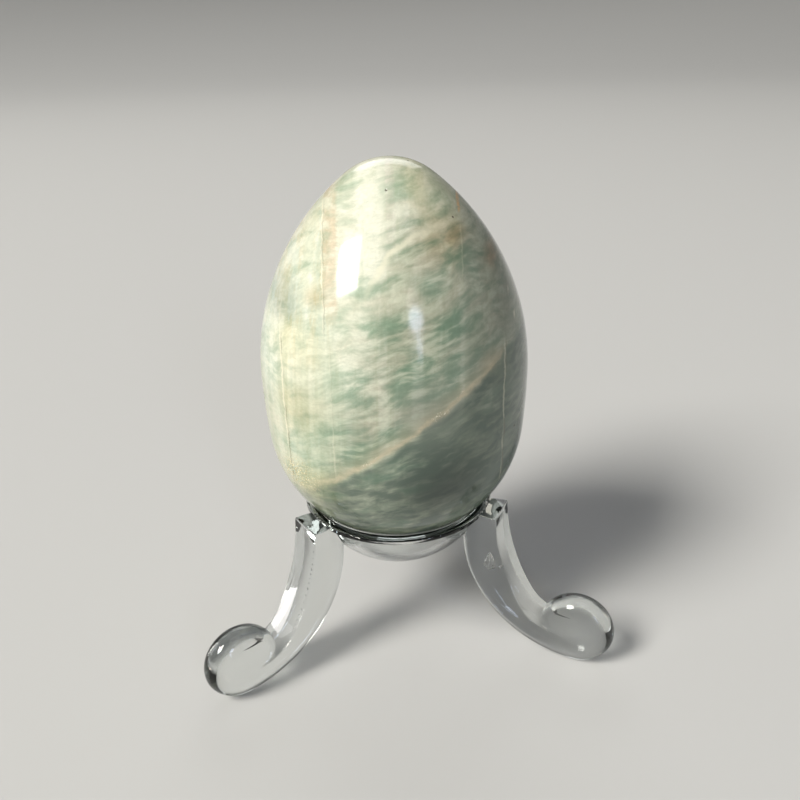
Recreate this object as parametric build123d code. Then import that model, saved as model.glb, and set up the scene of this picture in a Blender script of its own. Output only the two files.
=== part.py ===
from build123d import *
import math
import os

# A polished stone egg, point up, in a clear acrylic stand: a shallow round dish on three scrolled legs.
# Millimetres. The origin is on the dish's axis at the height of the table, +Z is up, and the rear leg
# points along +Y. The egg only rests in the dish, so it is a piece of its own that lifts straight out.

# Driving sizes of the egg
egg_width = 41.7            # across its widest circle
egg_crown_height = 31.8     # from the widest circle up to the tip
egg_belly_height = 28.2     # from the widest circle down to the underside
egg_tip_share = 0.5         # roundness of the upper end, as a share of the egg's radius
egg_base_share = 0.983      # the same of the lower end, which sits in the dish
egg_seat_gap = 0.1          # between the egg and the dish's inner edge, which carries it

# Driving sizes of the dish
stand_height = 25.4         # table to rim
bowl_radius = 15.6          # outer sphere of the bowl
bowl_centre_rise = 4.3      # the sphere's centre above the rim
bowl_wall = 1.0
rim_overhang = 0.6          # the rim beyond the bowl's mouth
rim_band_height = 0.6       # the upright band round the rim
rim_slope_height = 0.5      # the slope from the band back to the bowl
rim_edge_round = 0.2

# Driving sizes of a leg, which is drawn pointing along +X and then turned into place
leg_names = ["leg_rear", "leg_left", "leg_right"]
rear_leg_turn = 90          # degrees from +X, with the others evenly spaced after it
leg_width = 6.6             # side to side
leg_top_overhang = 2.7      # from the rim out to the outer face
leg_top_depth = 5.8         # from the outer face in to the inner side, at the height of the rim
leg_edge_round = 0.25       # round the top and down both edges of the outer face
ridge_height = 0.15         # the outer face stands a little proud along its middle
outer_arc_radius = 31.7     # the hollow outer face, seen from the side
inner_side_turn = 2.2       # degrees from straight down to where the inner side leaves the scroll

# Driving sizes of the scroll that the leg stands on
foot_spread = 13.4          # from the outer face at the rim out to the eye of the scroll
foot_radius = 6.0
foot_edge_share = 0.8       # roundness of the scroll's rim, as a share of half the leg's width
foot_eye_radius = 1.0       # the flat middle of the scroll's gently domed sides
foot_flat_depth = 0.06      # taken off the scroll where it stands on the table
hook_reach = 8.6            # from the eye in to where the outer face starts to hook in to it
hook_rise = 3.4             # from the eye up to the same place

# Blanks, which the cuts trim
blade_depth_share = 0.7     # how far the leg is made outward, as a share of its inner side's radius
blade_sweep = 150           # degrees along the leg's inner side
cut_overrun = 1.0           # how far a cut reaches past what it cuts

# Worked out from the driving sizes
egg_radius = egg_width / 2
egg_tip_radius = egg_radius * egg_tip_share
egg_base_radius = egg_radius * egg_base_share
bowl_centre_height = stand_height + bowl_centre_rise
bowl_inner_radius = bowl_radius - bowl_wall
rim_radius = math.sqrt(bowl_radius ** 2 - bowl_centre_rise ** 2) + rim_overhang
half_leg = leg_width / 2
leg_top_reach = rim_radius + leg_top_overhang
eye_reach = leg_top_reach + foot_spread
eye_height = foot_radius - foot_flat_depth
foot_edge_radius = half_leg * foot_edge_share


def egg_half(height, end_radius):
    """Half of the egg's outline: a side arc, upright at the widest circle, that runs into the round end."""
    rise = height - end_radius
    side_radius = (rise ** 2 + egg_radius ** 2 - end_radius ** 2) / (2 * (egg_radius - end_radius))
    side_centre = egg_radius - side_radius
    turn = math.degrees(math.atan2(rise, -side_centre))
    side = CenterArc((side_centre, 0), side_radius, 0, turn)
    end = CenterArc((0, rise), end_radius, turn, 90 - turn)
    return side + end


def seated_height():
    """Height of the egg's widest circle when its round base stands off the dish's inner edge by the gap."""
    edge_height = stand_height - rim_edge_round
    bowl_to_edge = bowl_inner_radius + rim_edge_round
    edge_reach = math.sqrt(bowl_to_edge ** 2 - (bowl_centre_height - edge_height) ** 2)
    egg_to_edge = egg_base_radius + egg_seat_gap + rim_edge_round
    base_centre_height = edge_height + math.sqrt(egg_to_edge ** 2 - edge_reach ** 2)
    return base_centre_height + egg_belly_height - egg_base_radius


def stone_egg():
    crown = egg_half(egg_crown_height, egg_tip_radius)
    belly = mirror(egg_half(egg_belly_height, egg_base_radius), about=Plane.XZ)
    middle = Line((0, -egg_belly_height), (0, egg_crown_height))
    outline = make_face(crown + belly + middle)
    return Pos(0, 0, seated_height()) * revolve(Plane.XZ * outline, Axis.Z, 360)


def ball_below_rim(radius):
    ball = Pos(0, 0, bowl_centre_height) * Sphere(radius)
    return split(ball, Plane.XY.offset(stand_height), keep=Keep.BOTTOM)


def filled_dish():
    """The dish's outside as a full block, which the legs are cut to fit."""
    slope_foot_depth = rim_band_height + rim_slope_height
    slope_foot_reach = math.sqrt(bowl_radius ** 2 - (bowl_centre_rise + slope_foot_depth) ** 2)
    rim_section = Polyline(
        (0, stand_height),
        (rim_radius, stand_height),
        (rim_radius, stand_height - rim_band_height),
        (slope_foot_reach, stand_height - slope_foot_depth),
        (0, stand_height - slope_foot_depth),
        close=True,
    )
    rim = revolve(Plane.XZ * make_face(rim_section), Axis.Z, 360)
    return rim + ball_below_rim(bowl_radius)


def dish():
    body = filled_dish() - ball_below_rim(bowl_inner_radius)
    return fillet(body.faces().sort_by(Axis.Z)[-1].edges(), rim_edge_round)


def edge_section(rim_distance, depth):
    """Cross-section of a leg: a round rim, gently domed sides, then flat ones down to the depth.

    X is the distance from the line that the section turns about, Y goes across the leg."""
    dome_depth = foot_radius - foot_eye_radius
    dome_rise = dome_depth - foot_edge_radius
    dome_spread = half_leg - foot_edge_radius
    dome_radius = (dome_rise ** 2 + half_leg ** 2 - foot_edge_radius ** 2) / (2 * dome_spread)
    rim_turn = math.degrees(math.atan2(dome_radius - half_leg, dome_rise))
    flat_start = rim_distance - dome_depth
    rim = CenterArc((rim_distance - foot_edge_radius, 0), foot_edge_radius, 0, rim_turn)
    dome = CenterArc((flat_start, half_leg - dome_radius), dome_radius, rim_turn, 90 - rim_turn)
    rest = Polyline(
        (flat_start, half_leg),
        (rim_distance - depth, half_leg),
        (rim_distance - depth, 0),
        (rim_distance, 0),
    )
    half = make_face(rim + dome + rest)
    return half + mirror(half, about=Plane.XZ)


def swung(section, centre, start_turn, turn):
    """The section swung about a level line across the leg. Both turns are degrees, from straight down."""
    hanging = Plane(origin=centre, x_dir=(0, 0, -1), z_dir=(1, 0, 0))
    level_line = Axis(centre, (0, 1, 0))
    return revolve((hanging * section).rotate(level_line, start_turn), level_line, turn)


def inner_side_arc():
    """Radius and centre of the leg's inner side. It passes the given depth behind the outer face at the rim,
    and leaves the scroll with no kink, so its centre lies on a tilted line through the scroll's eye."""
    uphill = Vector(math.sin(math.radians(inner_side_turn)), 0, math.cos(math.radians(inner_side_turn)))
    eye = Vector(eye_reach, 0, eye_height)
    from_top = eye - Vector(leg_top_reach - leg_top_depth, 0, stand_height)
    drop = -from_top.dot(uphill)
    radius = (from_top.dot(from_top) + 2 * foot_radius * drop + foot_radius ** 2) / (2 * (foot_radius + drop))
    return radius, eye + uphill * (radius - foot_radius)


def leg_side(proud):
    """Side view of everything inward of the leg's outer face, which is moved outward by the given amount."""
    top = (leg_top_reach + proud, stand_height)
    hook_start = (eye_reach - hook_reach + proud, eye_height + hook_rise)
    eye = (eye_reach + proud, eye_height)
    face = RadiusArc(top, hook_start, -outer_arc_radius)
    hook = TangentArc(hook_start, eye, tangent=face % 1)
    rest = Polyline(eye, (eye_reach + proud, -cut_overrun), (0, -cut_overrun), (0, stand_height), top)
    return make_face(face + hook + rest)


def is_flank_edge(edge):
    """Where the outer face, whose edges are neither lines nor circles, meets the flat of the leg's side."""
    return edge.geom_type == GeomType.BSPLINE and abs(edge.center().Y) > half_leg - ridge_height


def blade():
    """The leg from its top down to the scroll's eye."""
    inner_radius, inner_centre = inner_side_arc()
    section = edge_section(inner_radius, inner_radius * blade_depth_share)
    blank = swung(section, inner_centre, inner_side_turn, blade_sweep)
    # The side view is lofted from the proud middle out past the edge, where it lies back by as much
    middle = Plane.XZ * leg_side(ridge_height)
    outside = Plane.XZ.offset(leg_width) * leg_side(-ridge_height)
    one_side = loft([middle, outside], ruled=True)
    body = blank & (one_side + mirror(one_side, about=Plane.XZ))
    top_edges = body.faces().sort_by(Axis.Z)[-1].edges()
    return fillet(top_edges + body.edges().filter_by(is_flank_edge), leg_edge_round)


def leg():
    scroll = swung(edge_section(foot_radius, foot_radius), Vector(eye_reach, 0, eye_height), 0, 360)
    under_table = Pos(eye_reach, 0, -foot_radius) * Box(2 * foot_radius, leg_width, 2 * foot_radius)
    return blade() + scroll - under_table - filled_dish()


def main():
    os.makedirs("parts", exist_ok=True)
    export_step(stone_egg(), "parts/stone_egg.step")
    export_step(dish(), "parts/dish.step")
    pattern_leg = leg()
    for index, name in enumerate(leg_names):
        turn = rear_leg_turn + index * 360 / len(leg_names)
        export_step(Rot(0, 0, turn) * pattern_leg, f"parts/{name}.step")


main()
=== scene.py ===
# %% [markdown]
# # A polished stone egg in a clear acrylic stand
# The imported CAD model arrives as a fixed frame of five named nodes: the egg, the dish it sits in and
# three scrolled legs. Their shapes are already right, so this lesson is about looks. We set a camera
# where the photograph was taken from, build a pale studio round the object, and then make two materials
# that are hard to fake: banded green stone with a mirror polish, and clear acrylic.

# %% Load the frame
import math

import bmesh
import bpy
from mathutils import Euler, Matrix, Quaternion, Vector


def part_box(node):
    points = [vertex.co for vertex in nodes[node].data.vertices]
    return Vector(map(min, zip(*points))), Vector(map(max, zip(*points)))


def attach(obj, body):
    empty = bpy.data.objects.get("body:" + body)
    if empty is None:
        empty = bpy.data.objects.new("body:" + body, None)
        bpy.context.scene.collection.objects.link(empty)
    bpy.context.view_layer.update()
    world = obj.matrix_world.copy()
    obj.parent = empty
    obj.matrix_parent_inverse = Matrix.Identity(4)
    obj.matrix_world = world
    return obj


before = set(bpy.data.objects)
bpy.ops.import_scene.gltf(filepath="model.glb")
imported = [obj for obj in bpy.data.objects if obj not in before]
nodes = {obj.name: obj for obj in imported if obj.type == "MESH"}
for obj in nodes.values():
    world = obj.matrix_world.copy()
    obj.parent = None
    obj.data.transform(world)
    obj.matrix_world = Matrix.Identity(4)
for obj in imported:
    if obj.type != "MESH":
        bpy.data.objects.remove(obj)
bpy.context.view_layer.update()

print("nodes:", sorted(nodes))

# %% [markdown]
# ## The middle of the egg
# The scene is in metres. Small sizes and places read better in millimetres, and one number turns them
# into metres. The camera, the lights and the stone's pattern all refer to the egg's middle. It isn't
# copied from the CAD source but read from the egg's own box, so it stays right if the model changes.

# %% Find the middle of the egg
MM = 0.001
egg_low, egg_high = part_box("stone_egg")
egg_middle = (egg_low + egg_high) / 2
print("egg's middle in mm:", [round(value / MM, 2) for value in egg_middle])

# %% [markdown]
# ## The camera
# A phone's main camera, held a hand's length away, sees about 53 degrees across. With a sensor 36 mm wide
# that is a 36 mm lens. Close up, perspective is strong: the near scrolls look larger than the dish. The
# place and the angles were found by fitting the rim, the legs and the egg's outline to the photograph.
# The heading is degrees to the right of straight ahead, and the drop is degrees below level. The small
# roll is there because the picture was taken by hand.

# %% Place the camera
camera_place = Vector((-11.34, -117.32, 94.94)) * MM
camera_heading = 5.877
camera_drop = 24.2
camera_roll = 1.587
lens_length = 36
sensor_width = 36
nearest_seen = 5 * MM

camera_data = bpy.data.cameras.new("camera")
camera_data.lens = lens_length
camera_data.sensor_width = sensor_width
camera_data.clip_start = nearest_seen
camera = bpy.data.objects.new("camera", camera_data)
bpy.context.scene.collection.objects.link(camera)
bpy.context.scene.camera = camera
heading = Euler((math.radians(90 - camera_drop), 0, -math.radians(camera_heading))).to_quaternion()
roll = Quaternion((0, 0, 1), -math.radians(camera_roll))
camera.location = camera_place
camera.rotation_euler = (heading @ roll).to_euler()
print("camera distance in mm:", round((camera_place - egg_middle).length / MM, 1))

# %% [markdown]
# ## The studio
# Clear acrylic has no colour of its own. What it shows is the room, bent and mirrored, so the room
# matters more here than for an opaque thing. A studio has a sweep, one sheet that runs from floor to wall
# in a soft curve. We make it all the way round, as a wide bowl: a disc, its rim drawn up into a wall, and
# the corner between them rounded with a bevel. That leaves no seam and no hard horizon from any side. Its
# paper is matt and pale, with no pattern, so that nothing but the object draws the eye.

# %% Helper for a material with a name and an empty shader
def new_material(name):
    material = bpy.data.materials.new(name)
    material.use_nodes = True
    shader = material.node_tree.nodes["Principled BSDF"]
    return material, shader

# %% Build the sweep
floor_radius = 8.0
wall_height = 6.5
curve_radius = 6.0
curve_steps = 24
steps_round = 128

mesh = bmesh.new()
bmesh.ops.create_circle(mesh, cap_ends=True, segments=steps_round, radius=floor_radius)
rim = mesh.edges[:]
walls = bmesh.ops.extrude_edge_only(mesh, edges=rim)["geom"]
wall_tops = [piece for piece in walls if isinstance(piece, bmesh.types.BMVert)]
bmesh.ops.translate(mesh, verts=wall_tops, vec=(0, 0, wall_height))
bmesh.ops.bevel(
    mesh, geom=rim, offset=curve_radius, segments=curve_steps, profile=0.5, affect="EDGES", material=-1
)
bmesh.ops.recalc_face_normals(mesh, faces=mesh.faces)
for face in mesh.faces:
    face.smooth = True
sweep_data = bpy.data.meshes.new("studio_sweep")
mesh.to_mesh(sweep_data)
mesh.free()
sweep = bpy.data.objects.new("studio_sweep", sweep_data)
bpy.context.scene.collection.objects.link(sweep)
print("sweep faces:", len(sweep_data.polygons))

# %% Give the sweep a pale matt paper
paper_grey = (0.57, 0.57, 0.555, 1)
paper_roughness = 0.9
paper, paper_shader = new_material("pale_paper")
paper_shader.inputs["Base Color"].default_value = paper_grey
paper_shader.inputs["Roughness"].default_value = paper_roughness
sweep_data.materials.append(paper)
print("sweep material:", paper.name)

# %% [markdown]
# ## The lights
# The big highlight on the stone is a window, seen in the polish. A mirror sends the line of sight back
# out at the same angle, so the highlight's place tells where the window stood: to the left of the camera
# and halfway up the sky. The small bluish highlight is a drop with a tail, so it has a light for each.
# All are soft area lights, and two wide ones, behind and overhead, even out the rest. Where a light's
# spread is cut down, that is to keep a hot patch off the sweep.

# %% Helper for an area light that looks at a target
def area_light(name, azimuth, elevation, distance, width, height, power, colour, lean=0, spread=180,
               shape="RECTANGLE", target=egg_middle):
    """Azimuth is degrees from straight in front, to the right, and elevation is degrees above level.

    Lean turns the light in its own plane, and spread is how widely it shines, both in degrees."""
    data = bpy.data.lights.new(name, "AREA")
    data.shape = shape
    data.size = width
    data.size_y = height
    data.energy = power
    data.color = colour
    data.spread = math.radians(spread)
    light = bpy.data.objects.new(name, data)
    bpy.context.scene.collection.objects.link(light)
    level = math.cos(math.radians(elevation))
    side = math.sin(math.radians(azimuth)) * level
    front = -math.cos(math.radians(azimuth)) * level
    away = Vector((side, front, math.sin(math.radians(elevation))))
    light.location = target + away * distance
    facing = away.to_track_quat("Z", "Y") @ Quaternion((0, 0, 1), math.radians(lean))
    light.rotation_euler = facing.to_euler()
    light.visible_camera = False
    print(name, "at", [round(value, 3) for value in light.location])
    return light

# %% Light the stone as the windows did
daylight = (1.0, 0.97, 0.92)
sky_blue = (0.72, 0.80, 1.0)
area_light(
    "window", azimuth=-61, elevation=42, distance=5.2, width=1.65, height=2.25,
    power=150.0, colour=daylight, lean=35, spread=120,
)
area_light(
    "small_window", azimuth=15.0, elevation=22.5, distance=1.8, width=0.38, height=0.36,
    power=0.34, colour=sky_blue, spread=60, shape="ELLIPSE",
)
area_light(
    "small_window_tail", azimuth=15.5, elevation=10.5, distance=1.8, width=0.12, height=0.50,
    power=0.10, colour=sky_blue, spread=60, shape="ELLIPSE",
)

# %% Even out the rest from behind and from overhead
white = (1.0, 1.0, 1.0)
soft_white = (1.0, 0.99, 0.97)
area_light(
    "behind", azimuth=176, elevation=36, distance=5.0, width=3.8, height=2.0,
    power=19.0, colour=white, spread=120,
)
area_light(
    "overhead", azimuth=20, elevation=80, distance=5.2, width=2.8, height=2.8,
    power=14.0, colour=soft_white,
)

# %% [markdown]
# ### Lights for the stand alone
# The streak down the left leg needs a small bright strip close by, and the tops and edges of the legs
# need a pale card on either side before they shine. On the stone and the floor these would make
# highlights that the photograph doesn't have. A studio holds a black card in the way, and light linking
# does the same: a light with a receiver collection lights only what that collection holds. The strip also
# stays out of what is seen through the acrylic, so that it is only mirrored.

# %% Put a strip and two cards by the stand
strip_white = (1.0, 0.98, 0.95)
warm_white = (1.0, 0.86, 0.76)
strip_target = Vector((-19.8, -10.3, 10.8)) * MM
strip = area_light(
    "left_strip", azimuth=-110, elevation=5, distance=58 * MM, width=9 * MM, height=34 * MM,
    power=0.007, colour=strip_white, shape="ELLIPSE", target=strip_target,
)
strip.visible_transmission = False
left_card = area_light(
    "left_card", azimuth=-108, elevation=17, distance=2.0, width=0.9, height=0.9,
    power=5.0, colour=soft_white,
)
right_card = area_light(
    "right_card", azimuth=93, elevation=12, distance=2.0, width=0.8, height=0.7,
    power=1.8, colour=warm_white,
)

# %% Let these three light the stand alone
stand_nodes = ("dish", "leg_rear", "leg_left", "leg_right")
stand_only = bpy.data.collections.new("stand_only")
for name in stand_nodes:
    stand_only.objects.link(nodes[name])
for light in (strip, left_card, right_card):
    light.light_linking.receiver_collection = stand_only

# %% [markdown]
# ### The sky
# Without any sky, what the lights don't reach would be black. A weak and slightly blue one fills the
# shadows. The Standard view keeps a white highlight white, where the default one would grey it.

# %% Fill the room with a weak sky
sky_colour = (0.93, 0.96, 1.0, 1)
sky_strength = 0.10
world = bpy.data.worlds.new("soft_sky")
world.use_nodes = True
sky = world.node_tree.nodes["Background"]
sky.inputs["Color"].default_value = sky_colour
sky.inputs["Strength"].default_value = sky_strength
bpy.context.scene.world = world
bpy.context.scene.view_settings.view_transform = "Standard"

# %% [markdown]
# ## Short words for shader nodes
# A material here is a tree of nodes, and a stone needs hundreds of them. A few helpers keep that
# readable: each adds one node, joins its inputs and gives back its output, so a line of code reads as one
# step.

# %% Helpers that add one node and join its inputs
def tree_of(owner):
    """The node tree of a material, or the node group itself."""
    return owner.node_tree if isinstance(owner, bpy.types.Material) else owner


def add(owner, kind, **settings):
    """A new shader node. Settings are its properties by name."""
    node = tree_of(owner).nodes.new(kind)
    for name, value in settings.items():
        setattr(node, name, value)
    return node


def join(owner, source, target):
    tree_of(owner).links.new(source, target)


def feed(owner, socket, value):
    """Puts a number, a colour or another node's output into a socket."""
    if isinstance(value, bpy.types.NodeSocket):
        join(owner, value, socket)
    else:
        socket.default_value = value


def maths(owner, operation, first, second=0.0, third=0.0):
    node = add(owner, "ShaderNodeMath", operation=operation)
    for socket, value in zip(node.inputs, (first, second, third)):
        feed(owner, socket, value)
    return node.outputs[0]


def fade(owner, value, start, end, low=0.0, high=1.0):
    """Goes smoothly from low to high as the value goes from start to end."""
    node = add(owner, "ShaderNodeMapRange", interpolation_type="SMOOTHSTEP")
    for socket, number in zip(node.inputs, (value, start, end, low, high)):
        feed(owner, socket, number)
    return node.outputs[0]


def blend(owner, mask, first, second, mode="MIX"):
    node = add(owner, "ShaderNodeMix", data_type="RGBA", blend_type=mode)
    feed(owner, node.inputs["Factor"], mask)
    feed(owner, node.inputs["A"], first)
    feed(owner, node.inputs["B"], second)
    return node.outputs["Result"]

# %% Helpers that turn coordinates into patterns
def millimetres(material, turn=0.0, drop=0.0):
    """Object coordinates in millimetres, turned by degrees about the upright axis and lowered."""
    place = add(material, "ShaderNodeTexCoord").outputs["Object"]
    mapping = add(material, "ShaderNodeMapping")
    mapping.inputs["Scale"].default_value = (1 / MM, 1 / MM, 1 / MM)
    mapping.inputs["Rotation"].default_value = (0, 0, math.radians(turn))
    mapping.inputs["Location"].default_value = (0, 0, -drop / MM)
    join(material, place, mapping.inputs["Vector"])
    return mapping.outputs[0]


def stretched(owner, vector, scale, turn=(0, 0, 0), shift=(0, 0, 0)):
    """The coordinates turned by degrees and then scaled, so that a texture on them is stretched."""
    turned = add(owner, "ShaderNodeMapping")
    turned.inputs["Rotation"].default_value = [math.radians(angle) for angle in turn]
    turned.inputs["Location"].default_value = shift
    join(owner, vector, turned.inputs["Vector"])
    scaled = add(owner, "ShaderNodeMapping")
    scaled.inputs["Scale"].default_value = scale
    join(owner, turned.outputs[0], scaled.inputs["Vector"])
    return scaled.outputs[0]


def noise(owner, vector, scale, detail=4.0, roughness=0.5, distortion=0.0):
    node = add(owner, "ShaderNodeTexNoise")
    feed(owner, node.inputs["Vector"], vector)
    feed(owner, node.inputs["Scale"], scale)
    feed(owner, node.inputs["Detail"], detail)
    feed(owner, node.inputs["Roughness"], roughness)
    feed(owner, node.inputs["Distortion"], distortion)
    return node.outputs["Fac"]

# %% [markdown]
# ## A finish that the stone and the acrylic share
# Both have been polished, picked up and wiped, and both show it in the same way: hair scratches that only
# appear inside a highlight, and a slow ripple that bends a reflection a little. Because more than one
# material needs it, it is built once as a node group. Each material then sets its own numbers: how smooth
# it is where the polish is whole, how dull where it is worn, and the size of the marks.

# %% Build the worn finish as a node group
worn_finish = bpy.data.node_groups.new("worn_finish", "ShaderNodeTree")
worn_finish.interface.new_socket("Place", in_out="INPUT", socket_type="NodeSocketVector")
for name in ("Ripple Scale", "Scratch Scale", "Polished", "Worn"):
    worn_finish.interface.new_socket(name, in_out="INPUT", socket_type="NodeSocketFloat")
for name in ("Roughness", "Height"):
    worn_finish.interface.new_socket(name, in_out="OUTPUT", socket_type="NodeSocketFloat")
given = add(worn_finish, "NodeGroupInput").outputs
made = add(worn_finish, "NodeGroupOutput").inputs
scratch_space = stretched(worn_finish, given["Place"], (0.1, 0.1, 3.0), turn=(20, 35, 10))
scratches = noise(worn_finish, scratch_space, scale=given["Scratch Scale"], detail=3.0)
dulled = fade(worn_finish, scratches, 0.55, 0.75, low=given["Polished"], high=given["Worn"])
join(worn_finish, dulled, made["Roughness"])
slow_ripple = noise(worn_finish, given["Place"], scale=given["Ripple Scale"], detail=2.0)
join(worn_finish, slow_ripple, made["Height"])


def add_worn_finish(material, place_mm, ripple_scale, scratch_scale, polished, worn):
    """Places the group in a material with its own numbers, and gives its Roughness and Height outputs."""
    node = add(material, "ShaderNodeGroup", node_tree=worn_finish)
    join(material, place_mm, node.inputs["Place"])
    node.inputs["Ripple Scale"].default_value = ripple_scale
    node.inputs["Scratch Scale"].default_value = scratch_scale
    node.inputs["Polished"].default_value = polished
    node.inputs["Worn"].default_value = worn
    return node.outputs["Roughness"], node.outputs["Height"]


def add_bump(material, shader, height, strength, distance):
    bump = add(material, "ShaderNodeBump")
    bump.inputs["Strength"].default_value = strength
    bump.inputs["Distance"].default_value = distance
    join(material, height, bump.inputs["Height"])
    join(material, bump.outputs[0], shader.inputs["Normal"])


print("worn finish sockets:", [socket.name for socket in worn_finish.interface.items_tree])

# %% [markdown]
# ## The stone
# The egg was ground from one block, so its pattern runs right through it. That is why the material reads
# Object coordinates: a band that meets the surface on the left comes out again at the back, as in real
# stone. We first turn and centre the coordinates, so that x runs across the view, z runs up from the
# egg's middle, and one unit is one millimetre.

# %% Coordinates of the stone
stone, stone_shader = new_material("green_stone")
stone_turn = 5.5
stone_mm = millimetres(stone, turn=stone_turn, drop=egg_middle.z)
axes = add(stone, "ShaderNodeSeparateXYZ")
join(stone, stone_mm, axes.inputs[0])
across, depth, up = axes.outputs


def tell(step):
    print(step, "made, stone nodes so far:", len(stone.node_tree.nodes))


tell("coordinates")

# %% [markdown]
# ### The lie of the feathers
# Under the polish the stone is a weave of pale and green feathers, each two or three millimetres long,
# under one millimetre thick and rising to the right. Straight stretched noise would look combed, so the
# space that the noise reads is first pushed about by a slow noise. The feathers then lie in gentle waves.

# %% Bend the space of the feathers
push_scale = 0.11
push_reach = 3.2
slow_push = add(stone, "ShaderNodeTexNoise")
slow_push.inputs["Scale"].default_value = push_scale
slow_push.inputs["Detail"].default_value = 2.0
join(stone, stone_mm, slow_push.inputs["Vector"])
centred_push = add(stone, "ShaderNodeVectorMath", operation="SUBTRACT")
join(stone, slow_push.outputs["Color"], centred_push.inputs[0])
centred_push.inputs[1].default_value = (0.5, 0.5, 0.5)
bent = add(stone, "ShaderNodeVectorMath", operation="MULTIPLY_ADD")
join(stone, centred_push.outputs[0], bent.inputs[0])
bent.inputs[1].default_value = (push_reach, push_reach, push_reach)
join(stone, stone_mm, bent.inputs[2])
bent_mm = bent.outputs[0]
tell("bent space")

# %% Make feathers of two sizes
feather_rise = 17
feather_space = stretched(stone, bent_mm, (0.30, 0.4, 1.0), turn=(0, feather_rise, 0))
feathers = noise(stone, feather_space, scale=0.85, detail=3.5, roughness=0.52, distortion=0.10)
broad_space = stretched(stone, bent_mm, (0.38, 0.45, 1.0), turn=(0, feather_rise, 0), shift=(7, 3, 11))
broad_feathers = noise(stone, broad_space, scale=0.42, detail=3.5, roughness=0.50, distortion=0.15)
grain_rise = 12
grain_space = stretched(stone, bent_mm, (0.5, 0.6, 1.0), turn=(0, grain_rise, 0))
grain = noise(stone, grain_space, scale=3.0, detail=3.0, roughness=0.6)
tell("feathers and grain")

# %% [markdown]
# ### Where green wins over cream
# The green gathers in clouds. Each cloud below is a soft round column that runs through the block from
# front to back, given by its distance across, its height and its radius, because it must sit where it
# does on the real egg. The edges are torn by the feathers. A slow noise adds clouds of the same sort that
# differ round the back, where nothing is known.

# %% Place the green clouds
clouds = {
    "below_tip": (5.5, 15.5, 4.0),
    "at_third_crack": (8.5, 9.5, 6.0),
    "under_light_vein": (-3.5, 11.5, 3.5),
    "right_heart": (9.0, 4.5, 6.0),
    "heart": (3.2, 3.0, 8.5),
    "left_heart": (-6.5, 2.5, 6.0),
    "low_left": (-9.5, -8.0, 10.5),
    "low_right": (3.5, -8.5, 9.0),
}
print("clouds of green:", ", ".join(clouds))

# %% Gather them into one mask
flat = add(stone, "ShaderNodeCombineXYZ")
bent_axes = add(stone, "ShaderNodeSeparateXYZ")
join(stone, bent_mm, bent_axes.inputs[0])
join(stone, bent_axes.outputs[0], flat.inputs[0])
join(stone, bent_axes.outputs[2], flat.inputs[2])


def soft_spot(middle_across, middle_up, radius):
    """A mask that is one along the spot's middle line and fades to nothing at its radius."""
    node = add(stone, "ShaderNodeVectorMath", operation="DISTANCE")
    join(stone, flat.outputs[0], node.inputs[0])
    node.inputs[1].default_value = (middle_across, 0, middle_up)
    return fade(stone, node.outputs["Value"], radius, radius * 0.1)


slow_cloud_space = stretched(stone, stone_mm, (0.8, 1, 1), shift=(3, 0, 5))
slow_cloud = noise(stone, slow_cloud_space, scale=0.1, detail=2.0)
cloud = fade(stone, slow_cloud, 0.35, 0.75, high=0.6)
for middle_across, middle_up, radius in clouds.values():
    cloud = maths(stone, "MAXIMUM", cloud, soft_spot(middle_across, middle_up, radius))
tell("clouds")

# %% [markdown]
# ### The ground colours
# Four colours make the ground: beige and green in the body of the stone, and their paler kin, ivory and
# mint, towards the left side and the tip. How far a place is ivory and how far it is green are two masks,
# and blending twice with the first and once with the second gives every mixture of the four.

# %% Tint the ground
ivory = (0.74, 0.73, 0.58, 1)
mint = (0.44, 0.54, 0.40, 1)
beige = (0.52, 0.50, 0.39, 1)
green = (0.22, 0.32, 0.225, 1)
leaning_side = maths(stone, "MULTIPLY_ADD", up, -0.4, across)
ivory_side = fade(stone, leaning_side, -2.5, -11.5)
ivory_tip = fade(stone, up, 19.0, 27.0, high=0.85)
ivory_share = maths(stone, "MAXIMUM", ivory_side, ivory_tip)
pale_ground = blend(stone, ivory_share, beige, ivory)
green_ground = blend(stone, ivory_share, green, mint)
green_pull = maths(stone, "MULTIPLY_ADD", broad_feathers, 2.0, -1.0)
green_pull = maths(stone, "ADD", green_pull, maths(stone, "MULTIPLY_ADD", cloud, 0.66, 0.12))
body = blend(stone, fade(stone, green_pull, -0.1, 1.0), pale_ground, green_ground)
tell("ground")

# %% [markdown]
# ### Upright layers
# On the left the block was cut across thin upright layers of ivory, buff and pale mint, and a few more
# run down from the tip. Noise in a space that hardly changes with height gives fine stripes of uneven
# width. The layers that the eye picks out on the real egg are then added one by one, each as a slab of
# the block. A layer is given by its place across, half its width, its lower and upper end, its share and
# its colour.

# %% Lay fine stripes over the left side
buff = (0.70, 0.65, 0.46, 1)
mint_white = (0.72, 0.77, 0.66, 1)
layer_lean = -2
band_space = stretched(stone, stone_mm, (1.0, 0.4, 0.03), turn=(0, layer_lean, 0))
bands = noise(stone, band_space, scale=0.75, detail=5.0, roughness=0.75)
band_colour = blend(stone, fade(stone, bands, 0.44, 0.58), mint_white, buff)
band_side = fade(stone, across, -6.0, -10.0)
band_height = fade(stone, up, 1.0, 12.0, low=0.12, high=0.60)
band_mask = maths(stone, "MULTIPLY", band_side, band_height)
body = blend(stone, band_mask, body, band_colour)
tell("stripes")

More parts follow.
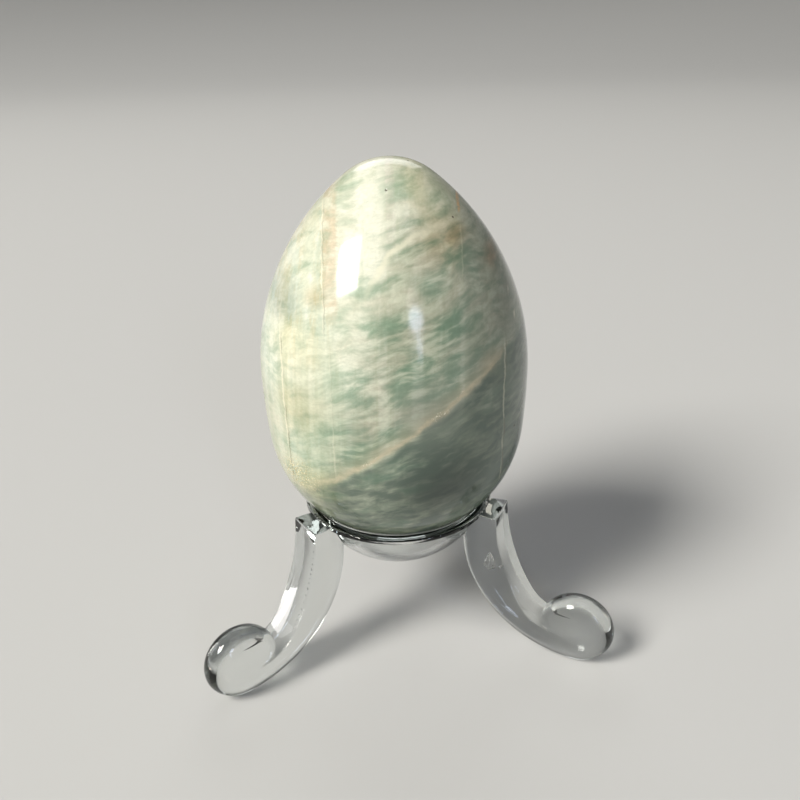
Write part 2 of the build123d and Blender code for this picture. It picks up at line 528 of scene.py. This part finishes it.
# %% Place the layers that stand out
layers = {
    "mint_edge": (-18.4, 2.0, -4, 20, 0.55, (0.66, 0.76, 0.66, 1)),
    "edge_cream": (-15.3, 0.9, -9, 13, 0.75, (0.82, 0.79, 0.60, 1)),
    "ivory": (-11.2, 1.5, 12, 27, 0.65, (0.84, 0.83, 0.67, 1)),
    "peach": (-8.3, 1.3, 9, 25, 0.85, (0.70, 0.58, 0.41, 1)),
    "cream_white": (-2.8, 2.4, 14, 31, 0.80, (0.88, 0.87, 0.72, 1)),
    "pink_white": (0.1, 0.8, 18, 31, 0.45, (0.72, 0.65, 0.57, 1)),
    "tip_cream": (3.6, 1.6, 22, 31, 0.50, (0.80, 0.76, 0.58, 1)),
    "grey_white": (9.5, 0.8, -2, 14, 0.30, (0.56, 0.57, 0.47, 1)),
}
print("layers:", ", ".join(layers))

# %% Add them one by one
layer_fade_in = 5
layer_fade_out = 3
layer_shake = maths(stone, "MULTIPLY_ADD", grain, 1.0, -0.5)
layer_wear = fade(stone, broad_feathers, 0.65, 0.40, low=0.6)
for reach, half_width, low_end, high_end, share, colour in layers.values():
    off_layer = maths(stone, "ADD", maths(stone, "SUBTRACT", across, reach), layer_shake)
    layer = fade(stone, maths(stone, "ABSOLUTE", off_layer), half_width, half_width * 0.5, high=share)
    layer = maths(stone, "MULTIPLY", layer, fade(stone, up, low_end, low_end + layer_fade_in))
    layer = maths(stone, "MULTIPLY", layer, fade(stone, up, high_end + layer_fade_out, high_end))
    body = blend(stone, maths(stone, "MULTIPLY", layer, layer_wear), body, colour)
tell("layers")

# %% [markdown]
# ### The feathers themselves
# The ground and its layers are only broad colour so far. The feathers are laid over both: pale ones where
# their noise is high, dark ones where it is low, and dark ones mostly where the ground is green already.
# A fine grain darkens a few threads, which keeps the polish from looking like plastic.

# %% Weave pale and dark feathers over the ground
pale_on_green = (0.68, 0.69, 0.55, 1)
pale_on_ivory = (0.84, 0.84, 0.69, 1)
pale_in_painted_low_shade = (0.62, 0.66, 0.50, 1)
dark_on_green = (0.17, 0.26, 0.18, 1)
dark_on_ivory = (0.40, 0.49, 0.36, 1)
pale_feather = blend(stone, ivory_share, pale_on_green, pale_on_ivory)
# Lower down the pale feathers turn greener and darker; the darkening is painted shade.
pale_feather = blend(stone, fade(stone, up, 4.0, -10.0), pale_feather, pale_in_painted_low_shade)
dark_feather = blend(stone, ivory_share, dark_on_green, dark_on_ivory)
pale_mask = fade(stone, feathers, 0.44, 0.68, high=0.72)
dark_mask = fade(stone, feathers, 0.51, 0.30, high=0.72)
dark_mask = maths(stone, "MULTIPLY", dark_mask, fade(stone, green_pull, -0.1, 0.7, low=0.40))
body = blend(stone, pale_mask, body, pale_feather)
body = blend(stone, dark_mask, body, dark_feather)
tell("pale and dark feathers")

# %% Darken a few threads
no_tint = (1.0, 1.0, 1.0, 1)
thread_tint = (0.90, 0.91, 0.90, 1)
grain_tint = blend(stone, fade(stone, grain, 0.35, 0.65), thread_tint, no_tint)
body = blend(stone, 1.0, body, grain_tint, mode="MULTIPLY")
tell("darker threads")

# %% [markdown]
# ### Stains
# The real stone has warm stains here and there, with soft edges. Multiplying by a tint lets the feathers
# show through, as a stain does, where a plain blend would paint them over. A place is given by its
# distance across, its height, its radius, its share and its tint. Two tints by the left edge are greyer,
# because the stone is less bright there.

# %% Place the stains
warm_tan = (1.0, 0.86, 0.71, 1)
brown = (0.84, 0.70, 0.55, 1)
rust = (1.0, 0.70, 0.56, 1)
olive = (0.80, 0.79, 0.60, 1)
straw = (1.0, 0.95, 0.80, 1)
mint_grey = (0.66, 0.70, 0.73, 1)
sage = (0.78, 0.77, 0.66, 1)
tinted_places = {
    "right_of_tip": (7.0, 21.0, 6.0, 0.75, warm_tan),
    "tip_right": (3.5, 27.5, 4.0, 0.50, straw),
    "tip_olive": (6.2, 25.0, 3.8, 0.25, olive),
    "by_third_crack": (9.0, 21.0, 2.2, 0.80, brown),
    "right_shoulder": (14.6, 17.6, 2.8, 0.90, rust),
    "left_flank": (-10.2, 13.5, 2.2, 0.60, brown),
    "left_cloud": (-13.2, 7.2, 5.5, 0.55, straw),
    "left_cloud_low": (-13.6, -1.5, 6.0, 0.85, sage),
    "left_edge_high": (-15.5, 12.5, 4.5, 0.85, mint_grey),
    "left_foot": (-12.0, -15.0, 6.5, 0.70, olive),
    "right_flank": (14.0, 3.5, 3.5, 0.70, warm_tan),
}
print("stained places:", ", ".join(tinted_places))

# %% Stain them
for middle_across, middle_up, radius, share, colour in tinted_places.values():
    spot = maths(stone, "MULTIPLY", soft_spot(middle_across, middle_up, radius), share)
    body = blend(stone, spot, body, colour, mode="MULTIPLY")
tell("stains")

# %% [markdown]
# ### Layers under the feathers
# The upright layers don't stop at the left side. They run on through the whole block, so faintly that
# they only show as slightly darker columns. One more stretched noise, multiplied in weakly, is enough.

# %% Let faint upright layers show through everywhere
upright_space = stretched(
    stone, stone_mm, (1.0, 0.4, 0.04), turn=(0, layer_lean, 0), shift=(9, 4, 0)
)
upright = noise(stone, upright_space, scale=0.45, detail=4.0, roughness=0.6)
column_tint = (0.86, 0.88, 0.84, 1)
upright_tint = blend(stone, fade(stone, upright, 0.40, 0.60), column_tint, no_tint)
body = blend(stone, 1.0, body, upright_tint, mode="MULTIPLY")
tell("faint layers")

# %% [markdown]
# ### The grey side and painted shade on the right
# The stone has upright cracks, which are drawn further down. Right of the third one it loses its cream
# and turns grey green, quickly at the crack. Painted shade darkens the right side as well, in a slow rise
# across the stone and one more rise at the edge, so the share of grey is these two and the step, added up.

# %% Turn the right side grey green, with painted shade
grey_green_and_shade = (0.19, 0.22, 0.175, 1)
# Painted shade: the slow rise and the rise at the edge. The step at the crack is the stone's own grey.
slow_painted_shade = fade(stone, across, 0.0, 12.0, high=0.28)
grey_side = fade(stone, across, 9.2, 10.2, high=0.18)
edge_painted_shade = fade(stone, across, 13.0, 17.0, high=0.15)
grey_and_shade_share = maths(stone, "ADD", maths(stone, "ADD", slow_painted_shade, grey_side), edge_painted_shade)
body = blend(stone, grey_and_shade_share, body, grey_green_and_shade)
tell("grey side")

# %% [markdown]
# ### The tan vein, the darker stone below it and painted shade
# One vein crosses the whole egg on a slant. It is a flat sheet in the block, so its mask is the distance
# from a slanted plane, bent a little by noise. The stone under the sheet is blue green and darker, partly
# its own colour and partly painted shade, which is weaker on the left. Low on the right it is darkest, and
# some dark reaches above the sheet too, both of them painted shade. The vein has a core, a soft halo above
# it, and golden flecks where it is richest.

# %% Measure the distance from the sheet
vein_slope = 0.70
vein_rise = -5.6
wobble_reach = 2.4
wobble_space = stretched(stone, stone_mm, (1, 1, 1), shift=(20, 5, 2))
wobble = noise(stone, wobble_space, scale=0.25, detail=5.0, roughness=0.6)
wobble = maths(stone, "MULTIPLY_ADD", wobble, wobble_reach, -wobble_reach / 2)
sheet = maths(stone, "MULTIPLY_ADD", across, vein_slope, vein_rise)
above_vein = maths(stone, "ADD", maths(stone, "SUBTRACT", up, sheet), wobble)
tell("distance from the vein")

# %% Darken the stone below the vein, and paint shade low on the right
deep_green = (0.095, 0.135, 0.105, 1)
shade_blackish_green = (0.040, 0.055, 0.045, 1)
# Below the vein: the stone's own blue green, deepened partly by painted shade, less so towards the left.
below = fade(stone, above_vein, 0.2, -1.7)
below = maths(stone, "MULTIPLY", below, fade(stone, across, -15.0, -6.0, low=0.40))
below = maths(stone, "MULTIPLY", below, fade(stone, broad_feathers, 0.62, 0.42, low=0.50, high=0.92))
below = maths(stone, "MULTIPLY", below, fade(stone, feathers, 0.66, 0.48, low=0.80))
body = blend(stone, below, body, deep_green)
# Painted shade: a grey patch just above the vein and a blackish one low on the right.
painted_shade_above_vein = maths(stone, "MULTIPLY", soft_spot(4.8, -2.3, 8.0), 0.58)
body = blend(stone, painted_shade_above_vein, body, grey_green_and_shade)
painted_shade_low_right = maths(stone, "MULTIPLY", soft_spot(6.5, -13.0, 9.0), 0.80)
body = blend(stone, painted_shade_low_right, body, shade_blackish_green)
tell("dark stone")

# %% Draw the tan vein
tan = (0.58, 0.49, 0.33, 1)
vein_fade = fade(stone, across, -14.0, -8.0, low=0.15)
vein_fade = maths(stone, "MULTIPLY", vein_fade, fade(stone, across, 16.5, 13.0, low=0.1))
halo = fade(stone, above_vein, 3.4, 0.1, high=0.30)
halo = maths(stone, "MULTIPLY", halo, fade(stone, above_vein, -1.2, 0.0))
body = blend(stone, maths(stone, "MULTIPLY", halo, vein_fade), body, tan)
vein_core = fade(stone, maths(stone, "ABSOLUTE", above_vein), 0.8, 0.05)
vein_core = maths(stone, "MULTIPLY", vein_core, vein_fade)
vein_mask = maths(stone, "MULTIPLY", vein_core, fade(stone, feathers, 0.35, 0.60, low=0.20, high=0.65))
vein_mask = maths(stone, "MULTIPLY", vein_mask, fade(stone, grain, 0.32, 0.60, low=0.50))
body = blend(stone, vein_mask, body, tan)
tell("tan vein")

# %% Strew golden flecks along it
fleck = (0.95, 0.90, 0.72, 1)
speck_space = stretched(stone, stone_mm, (1.0, 1.0, 1.0), shift=(4, 4, 9))
specks = fade(stone, noise(stone, speck_space, scale=4.0, detail=2.0), 0.56, 0.64)
fleck_places = maths(stone, "MAXIMUM", soft_spot(6.4, -1.6, 1.9), soft_spot(-4.9, -10.4, 0.8))
fleck_places = maths(stone, "MAXIMUM", fleck_places, fade(stone, broad_feathers, 0.52, 0.62, high=0.6))
fleck_mask = maths(stone, "MULTIPLY", maths(stone, "MULTIPLY", specks, vein_core), fleck_places)
body = blend(stone, fleck_mask, body, fleck)
tell("flecks")

# %% [markdown]
# ### The pale vein
# A second vein is shorter and paler, and bends as it climbs towards the tip. A plane would be straight,
# so its mask is the distance from a curve: the height rises with the distance across, less its square.
# The same wobble frays it, and it fades out before it reaches the back.

# %% Draw the pale vein
pale_gold = (0.84, 0.81, 0.62, 1)
pale_rise = 19.0
pale_bend = -0.085
pale_fray = 1.3
bend = maths(stone, "MULTIPLY_ADD", maths(stone, "MULTIPLY", across, across), pale_bend, pale_rise)
off_pale = maths(stone, "SUBTRACT", up, maths(stone, "ADD", bend, across))
off_pale = maths(stone, "ABSOLUTE", maths(stone, "MULTIPLY_ADD", wobble, pale_fray, off_pale))
pale_vein = maths(stone, "MULTIPLY", fade(stone, off_pale, 1.0, 0.1), soft_spot(0.5, 19.5, 9.0))
pale_vein = maths(stone, "MULTIPLY", pale_vein, fade(stone, depth, 0.0, -4.0, high=0.65))
body = blend(stone, pale_vein, body, pale_gold)
tell("pale vein")

# %% [markdown]
# ### Healed cracks
# Upright cracks run through the stone where it once parted and healed. Each is a thin line of pale
# mineral with a dark hair beside it. The line is nearly straight, because it is a flat sheet seen edge
# on, and it comes and goes with a slow noise. A crack is given by its place across, its lower and upper
# end, and the shares of its pale line and of its dark hair. They are counted from the left, and two are
# only short ticks at the right edge.

# %% Place the cracks
cracks = {
    "left": (-15.9, -19.0, 10.0, 0.80, 0.70),
    "second": (-9.4, 8.0, 26.0, 1.0, 0.40),
    "second_low": (-8.8, -13.0, 9.0, 0.30, 0.10),
    "third": (9.6, 14.0, 23.5, 0.20, 0.15),
    "right": (15.5, -18.0, 8.0, 0.45, 0.70),
    "tick": (16.5, 11.2, 12.9, 0.90, 0.0),
    "low_tick": (17.4, 8.0, 9.6, 0.70, 0.0),
}
print("cracks:", ", ".join(cracks))

# %% Shake their lines and let them come and go
shake_reach = 0.8
shake_space = stretched(stone, stone_mm, (0.3, 1, 1), shift=(1, 9, 4))
shake = noise(stone, shake_space, scale=0.28, detail=4.0, roughness=0.55)
shake = maths(stone, "MULTIPLY_ADD", shake, shake_reach, -shake_reach / 2)
shake = maths(stone, "MULTIPLY_ADD", grain, 0.35, maths(stone, "ADD", shake, -0.17))
come_and_go_space = stretched(stone, stone_mm, (1, 1, 0.6), shift=(31, 2, 8))
come_and_go = noise(stone, come_and_go_space, scale=0.4, detail=3.0)
tell("shaken lines")

# %% Draw the cracks
pale_mineral = (0.86, 0.81, 0.62, 1)
crack_shadow = (0.20, 0.17, 0.11, 1)
longest_taper = 3.0
hair_shift = 0.2
line_half = maths(stone, "MULTIPLY_ADD", come_and_go, 0.5, -0.08)
crack = 0.0
hair = 0.0
for reach, low_end, high_end, pale_share, dark_share in cracks.values():
    off_plane = maths(stone, "ADD", maths(stone, "SUBTRACT", across, reach), shake)
    taper = min(longest_taper, (high_end - low_end) / 2)
    between_ends = fade(stone, up, low_end, low_end + taper)
    between_ends = maths(stone, "MULTIPLY", between_ends, fade(stone, up, high_end, high_end - taper))
    line = fade(stone, maths(stone, "ABSOLUTE", off_plane), line_half, 0.0, high=pale_share)
    crack = maths(stone, "MAXIMUM", crack, maths(stone, "MULTIPLY", line, between_ends))
    beside = maths(stone, "ABSOLUTE", maths(stone, "ADD", off_plane, -hair_shift))
    beside = fade(stone, beside, 0.15, 0.02, high=dark_share)
    hair = maths(stone, "MAXIMUM", hair, maths(stone, "MULTIPLY", beside, between_ends))
crack = maths(stone, "MULTIPLY", crack, fade(stone, come_and_go, 0.38, 0.60, low=0.15, high=0.75))
hair = maths(stone, "MULTIPLY", hair, fade(stone, come_and_go, 0.62, 0.42, high=0.70))
body = blend(stone, hair, body, crack_shadow)
body = blend(stone, crack, body, pale_mineral)
tell("cracks")

# %% [markdown]
# ### What the cracks hold
# The third crack shines like copper near the tip, and the foot of the left one is filled with brown
# crumbs and golden grains. Both are small, but the eye goes to them. The copper follows the crack's own
# shaken line, and the crumbs are a fine noise cut off sharply, inside a soft spot.

# %% Line the top of the third crack with copper
copper = (0.62, 0.40, 0.20, 1)
copper_across = 9.7
copper_side = maths(stone, "ADD", maths(stone, "ADD", across, -copper_across), shake)
off_copper = maths(stone, "ABSOLUTE", copper_side)
copper_line = maths(stone, "MULTIPLY", fade(stone, off_copper, 0.30, 0.10), fade(stone, up, 22.8, 23.6))
copper_line = maths(stone, "MULTIPLY", copper_line, fade(stone, grain, 0.35, 0.50, low=0.2, high=0.85))
body = blend(stone, copper_line, body, copper)
tell("copper")

# %% Crumble the foot of the left crack
crumb_brown = (0.42, 0.37, 0.20, 1)
grain_gold = (0.88, 0.78, 0.46, 1)
crumb_place = soft_spot(-15.0, -13.5, 5.0)
crumb_noise = noise(stone, speck_space, scale=2.2, detail=4.0, roughness=0.65)
crumbs = fade(stone, crumb_noise, 0.50, 0.60, high=0.75)
body = blend(stone, maths(stone, "MULTIPLY", crumbs, crumb_place), body, crumb_brown)
golden = maths(stone, "MULTIPLY", specks, crumb_place)
body = blend(stone, golden, body, grain_gold)
tell("crumbs")

# %% [markdown]
# ### Pits and polish
# Polishing leaves a few pin-prick pits where soft grains fell out. Three stand at known places on the
# real egg, each given by its distance across, its depth and its height. The others are on its sides and
# back. A cell texture gives them, cut down to a few by a second test. The polish itself is nearly a
# mirror, and dulled a little by the hair scratches. Pits and cracks are also sunk with a bump, since the
# polish stops at their edge.

# %% Prick the pits
pit_scale = 0.2
pit_share = 0.5
pit_radius = 0.24
pit_core = 0.10
pit_cells = add(stone, "ShaderNodeTexVoronoi", feature="F1")
pit_cells.inputs["Scale"].default_value = pit_scale
join(stone, stone_mm, pit_cells.inputs["Vector"])
chosen = add(stone, "ShaderNodeSeparateColor")
join(stone, pit_cells.outputs["Color"], chosen.inputs[0])
pit = fade(stone, pit_cells.outputs["Distance"], 0.045, 0.025)
pit = maths(stone, "MULTIPLY", pit, maths(stone, "GREATER_THAN", chosen.outputs[0], pit_share))
pit = maths(stone, "MULTIPLY", pit, fade(stone, depth, -6.0, 0.0))
known_pits = {"tip": (-0.4, -7.9, 26.6), "by_crack": (8.6, -7.9, 22.7), "right": (17.6, -10.9, -7.9)}
for pit_place in known_pits.values():
    node = add(stone, "ShaderNodeVectorMath", operation="DISTANCE")
    join(stone, stone_mm, node.inputs[0])
    node.inputs[1].default_value = pit_place
    pit = maths(stone, "MAXIMUM", pit, fade(stone, node.outputs["Value"], pit_radius, pit_core))
print("known pits:", ", ".join(known_pits))

# %% Finish the stone
pit_brown = (0.08, 0.06, 0.04, 1)
stone_ior = 1.53
crack_height = -0.15
pit_height = -1.0
ripple_height = 0.6
body = blend(stone, maths(stone, "MULTIPLY", pit, 0.8), body, pit_brown)
join(stone, body, stone_shader.inputs["Base Color"])
stone_shader.inputs["IOR"].default_value = stone_ior
roughness, ripple = add_worn_finish(
    stone, stone_mm, ripple_scale=0.11, scratch_scale=1.2, polished=0.12, worn=0.18
)
join(stone, roughness, stone_shader.inputs["Roughness"])
height = maths(stone, "MULTIPLY_ADD", crack, crack_height, maths(stone, "MULTIPLY", pit, pit_height))
height = maths(stone, "MULTIPLY_ADD", ripple, ripple_height, height)
add_bump(stone, stone_shader, height, strength=0.5, distance=0.2 * MM)
nodes["stone_egg"].material_slots[0].material = stone
tell("whole stone")

# %% [markdown]
# ## The acrylic
# Acrylic bends light by 1.49, a little less than glass. It is never quite colourless: a leg seen the long
# way is greyer than one seen the short way, and that is what makes its faces tell apart on a pale floor.
# A volume that absorbs a little light does just that. Flame polish leaves a faint ripple, and handling
# leaves hair scratches that only show in the highlights, so both go into bump and roughness.

# %% Make the acrylic
acrylic_ior = 1.49
acrylic, acrylic_shader = new_material("clear_acrylic_looks")
acrylic_shader.inputs["Transmission Weight"].default_value = 1.0
acrylic_shader.inputs["IOR"].default_value = acrylic_ior
roughness, ripple = add_worn_finish(
    acrylic, millimetres(acrylic), ripple_scale=0.30, scratch_scale=1.2, polished=0.01, worn=0.06
)
join(acrylic, roughness, acrylic_shader.inputs["Roughness"])
add_bump(acrylic, acrylic_shader, ripple, strength=0.2, distance=0.1 * MM)

# %% Grey it at its grazing edges and through its depth
face_on = (0.985, 0.99, 0.985, 1)
edge_on = (0.63, 0.66, 0.655, 1)
depth_grey = (0.73, 0.765, 0.755, 1)
depth_density = 60.0
grazing_blend = 0.35
facing = add(acrylic, "ShaderNodeLayerWeight")
facing.inputs["Blend"].default_value = grazing_blend
edge_tint = blend(acrylic, facing.outputs["Facing"], face_on, edge_on)
join(acrylic, edge_tint, acrylic_shader.inputs["Base Color"])
absorption = add(acrylic, "ShaderNodeVolumeAbsorption")
absorption.inputs["Color"].default_value = depth_grey
absorption.inputs["Density"].default_value = depth_density
material_output = acrylic.node_tree.nodes["Material Output"]
join(acrylic, absorption.outputs[0], material_output.inputs["Volume"])
for name in stand_nodes:
    nodes[name].material_slots[0].material = acrylic
print("acrylic on:", ", ".join(stand_nodes))

# %% [markdown]
# ## Trapped air
# One flat tear of air sits inside the right leg with a small bubble beside it, and a row of pin-prick
# bubbles runs down inside the outer face of the left one. Air in acrylic is glass turned inside out:
# light leaving the acrylic bends the other way, so its IOR is one divided by the acrylic's. The walls of
# such a tear are wavy, so the shared finish gets a finer ripple here and a stronger bump.

# %% Make the air
air, air_shader = new_material("trapped_air")
air_shader.inputs["Transmission Weight"].default_value = 1.0
air_shader.inputs["IOR"].default_value = 1 / acrylic_ior
roughness, ripple = add_worn_finish(
    air, millimetres(air), ripple_scale=3.0, scratch_scale=4.0, polished=0.03, worn=0.15
)
join(air, roughness, air_shader.inputs["Roughness"])
add_bump(air, air_shader, ripple, strength=1.0, distance=0.2 * MM)
print("air bends light by", round(1 / acrylic_ior, 3))

# %% [markdown]
# ### Shapes of air
# The tear is a round ball of triangles, narrowed towards its top, waved, flattened and turned to lie
# along the leg's side. The bubbles are small balls, drawn out a little along the leg. A height and a side
# are enough to say where each goes: the leg's own mesh is asked for its nearest point, and the air is put
# just below it.

# %% Helpers for air
bubble_stretch = 1.6
radii_below_face = 3


def finish_air(mesh, name):
    """Turns a bmesh of bubbles into a smooth piece that rides on the stand."""
    for face in mesh.faces:
        face.smooth = True
    data = bpy.data.meshes.new(name)
    mesh.to_mesh(data)
    mesh.free()
    piece = bpy.data.objects.new(name, data)
    bpy.context.scene.collection.objects.link(piece)
    data.materials.append(air)
    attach(piece, "stand")
    print(name, "faces:", len(data.polygons))


def bubble(mesh, leg, near, radius, below):
    """Adds a small upright bubble, a little below the point of the leg that is nearest to the one given."""
    _, on_face, face_normal, _ = nodes[leg].closest_point_on_mesh(near)
    corners = bmesh.ops.create_icosphere(mesh, subdivisions=2, radius=radius)["verts"]
    bmesh.ops.scale(mesh, vec=(1, 1, bubble_stretch), verts=corners)
    bmesh.ops.translate(mesh, vec=on_face - face_normal * below, verts=corners)

# %% Shape the tear in the right leg
tear_place = Vector((13.4, -11.35, 17.0)) * MM
tear_half_sizes = Vector((0.85, 0.34, 1.70)) * MM
tear_depth = 1.1 * MM
tear_narrowing = 0.60
wave_height = 0.5
waves = 5
_, on_flank, flank_normal, _ = nodes["leg_right"].closest_point_on_mesh(tear_place)
flank = Vector((flank_normal.x, flank_normal.y, 0)).normalized()
mesh = bmesh.new()
bmesh.ops.create_icosphere(mesh, subdivisions=3, radius=1.0)
for corner in mesh.verts:
    corner.co.x *= 1 - tear_narrowing * corner.co.z
    corner.co.y *= 1 + wave_height * math.sin(waves * corner.co.x)
bmesh.ops.scale(mesh, vec=tear_half_sizes, verts=mesh.verts)
bmesh.ops.rotate(mesh, matrix=flank.to_track_quat("-Y", "Z").to_matrix(), verts=mesh.verts)
bmesh.ops.translate(mesh, vec=on_flank - flank * tear_depth, verts=mesh.verts)
finish_air(mesh, "air_tear")

# %% Put one bubble beside the tear
pip_place = Vector((15.6, -12.1, 16.6)) * MM
pip_radius = 0.24 * MM
mesh = bmesh.new()
bubble(mesh, "leg_right", pip_place, pip_radius, radii_below_face * pip_radius)
finish_air(mesh, "air_pip")

# %% String the bubbles inside the left leg
string_top = Vector((-14.8, -11.4, 22.0)) * MM
string_low = Vector((-19.1, -13.6, 9.0)) * MM
string_count = 15
string_radius = 0.11 * MM
uneven_spacing = 0.35
spacing_beat = 7.0
uneven_size = 0.4
size_beat = 11.0
mesh = bmesh.new()
for index in range(string_count):
    share = (index + uneven_spacing * math.sin(spacing_beat * index)) / (string_count - 1)
    radius = string_radius * (1 + uneven_size * math.sin(size_beat * index))
    near = string_top.lerp(string_low, share)
    bubble(mesh, "leg_left", near, radius, radii_below_face * string_radius)
finish_air(mesh, "air_string")
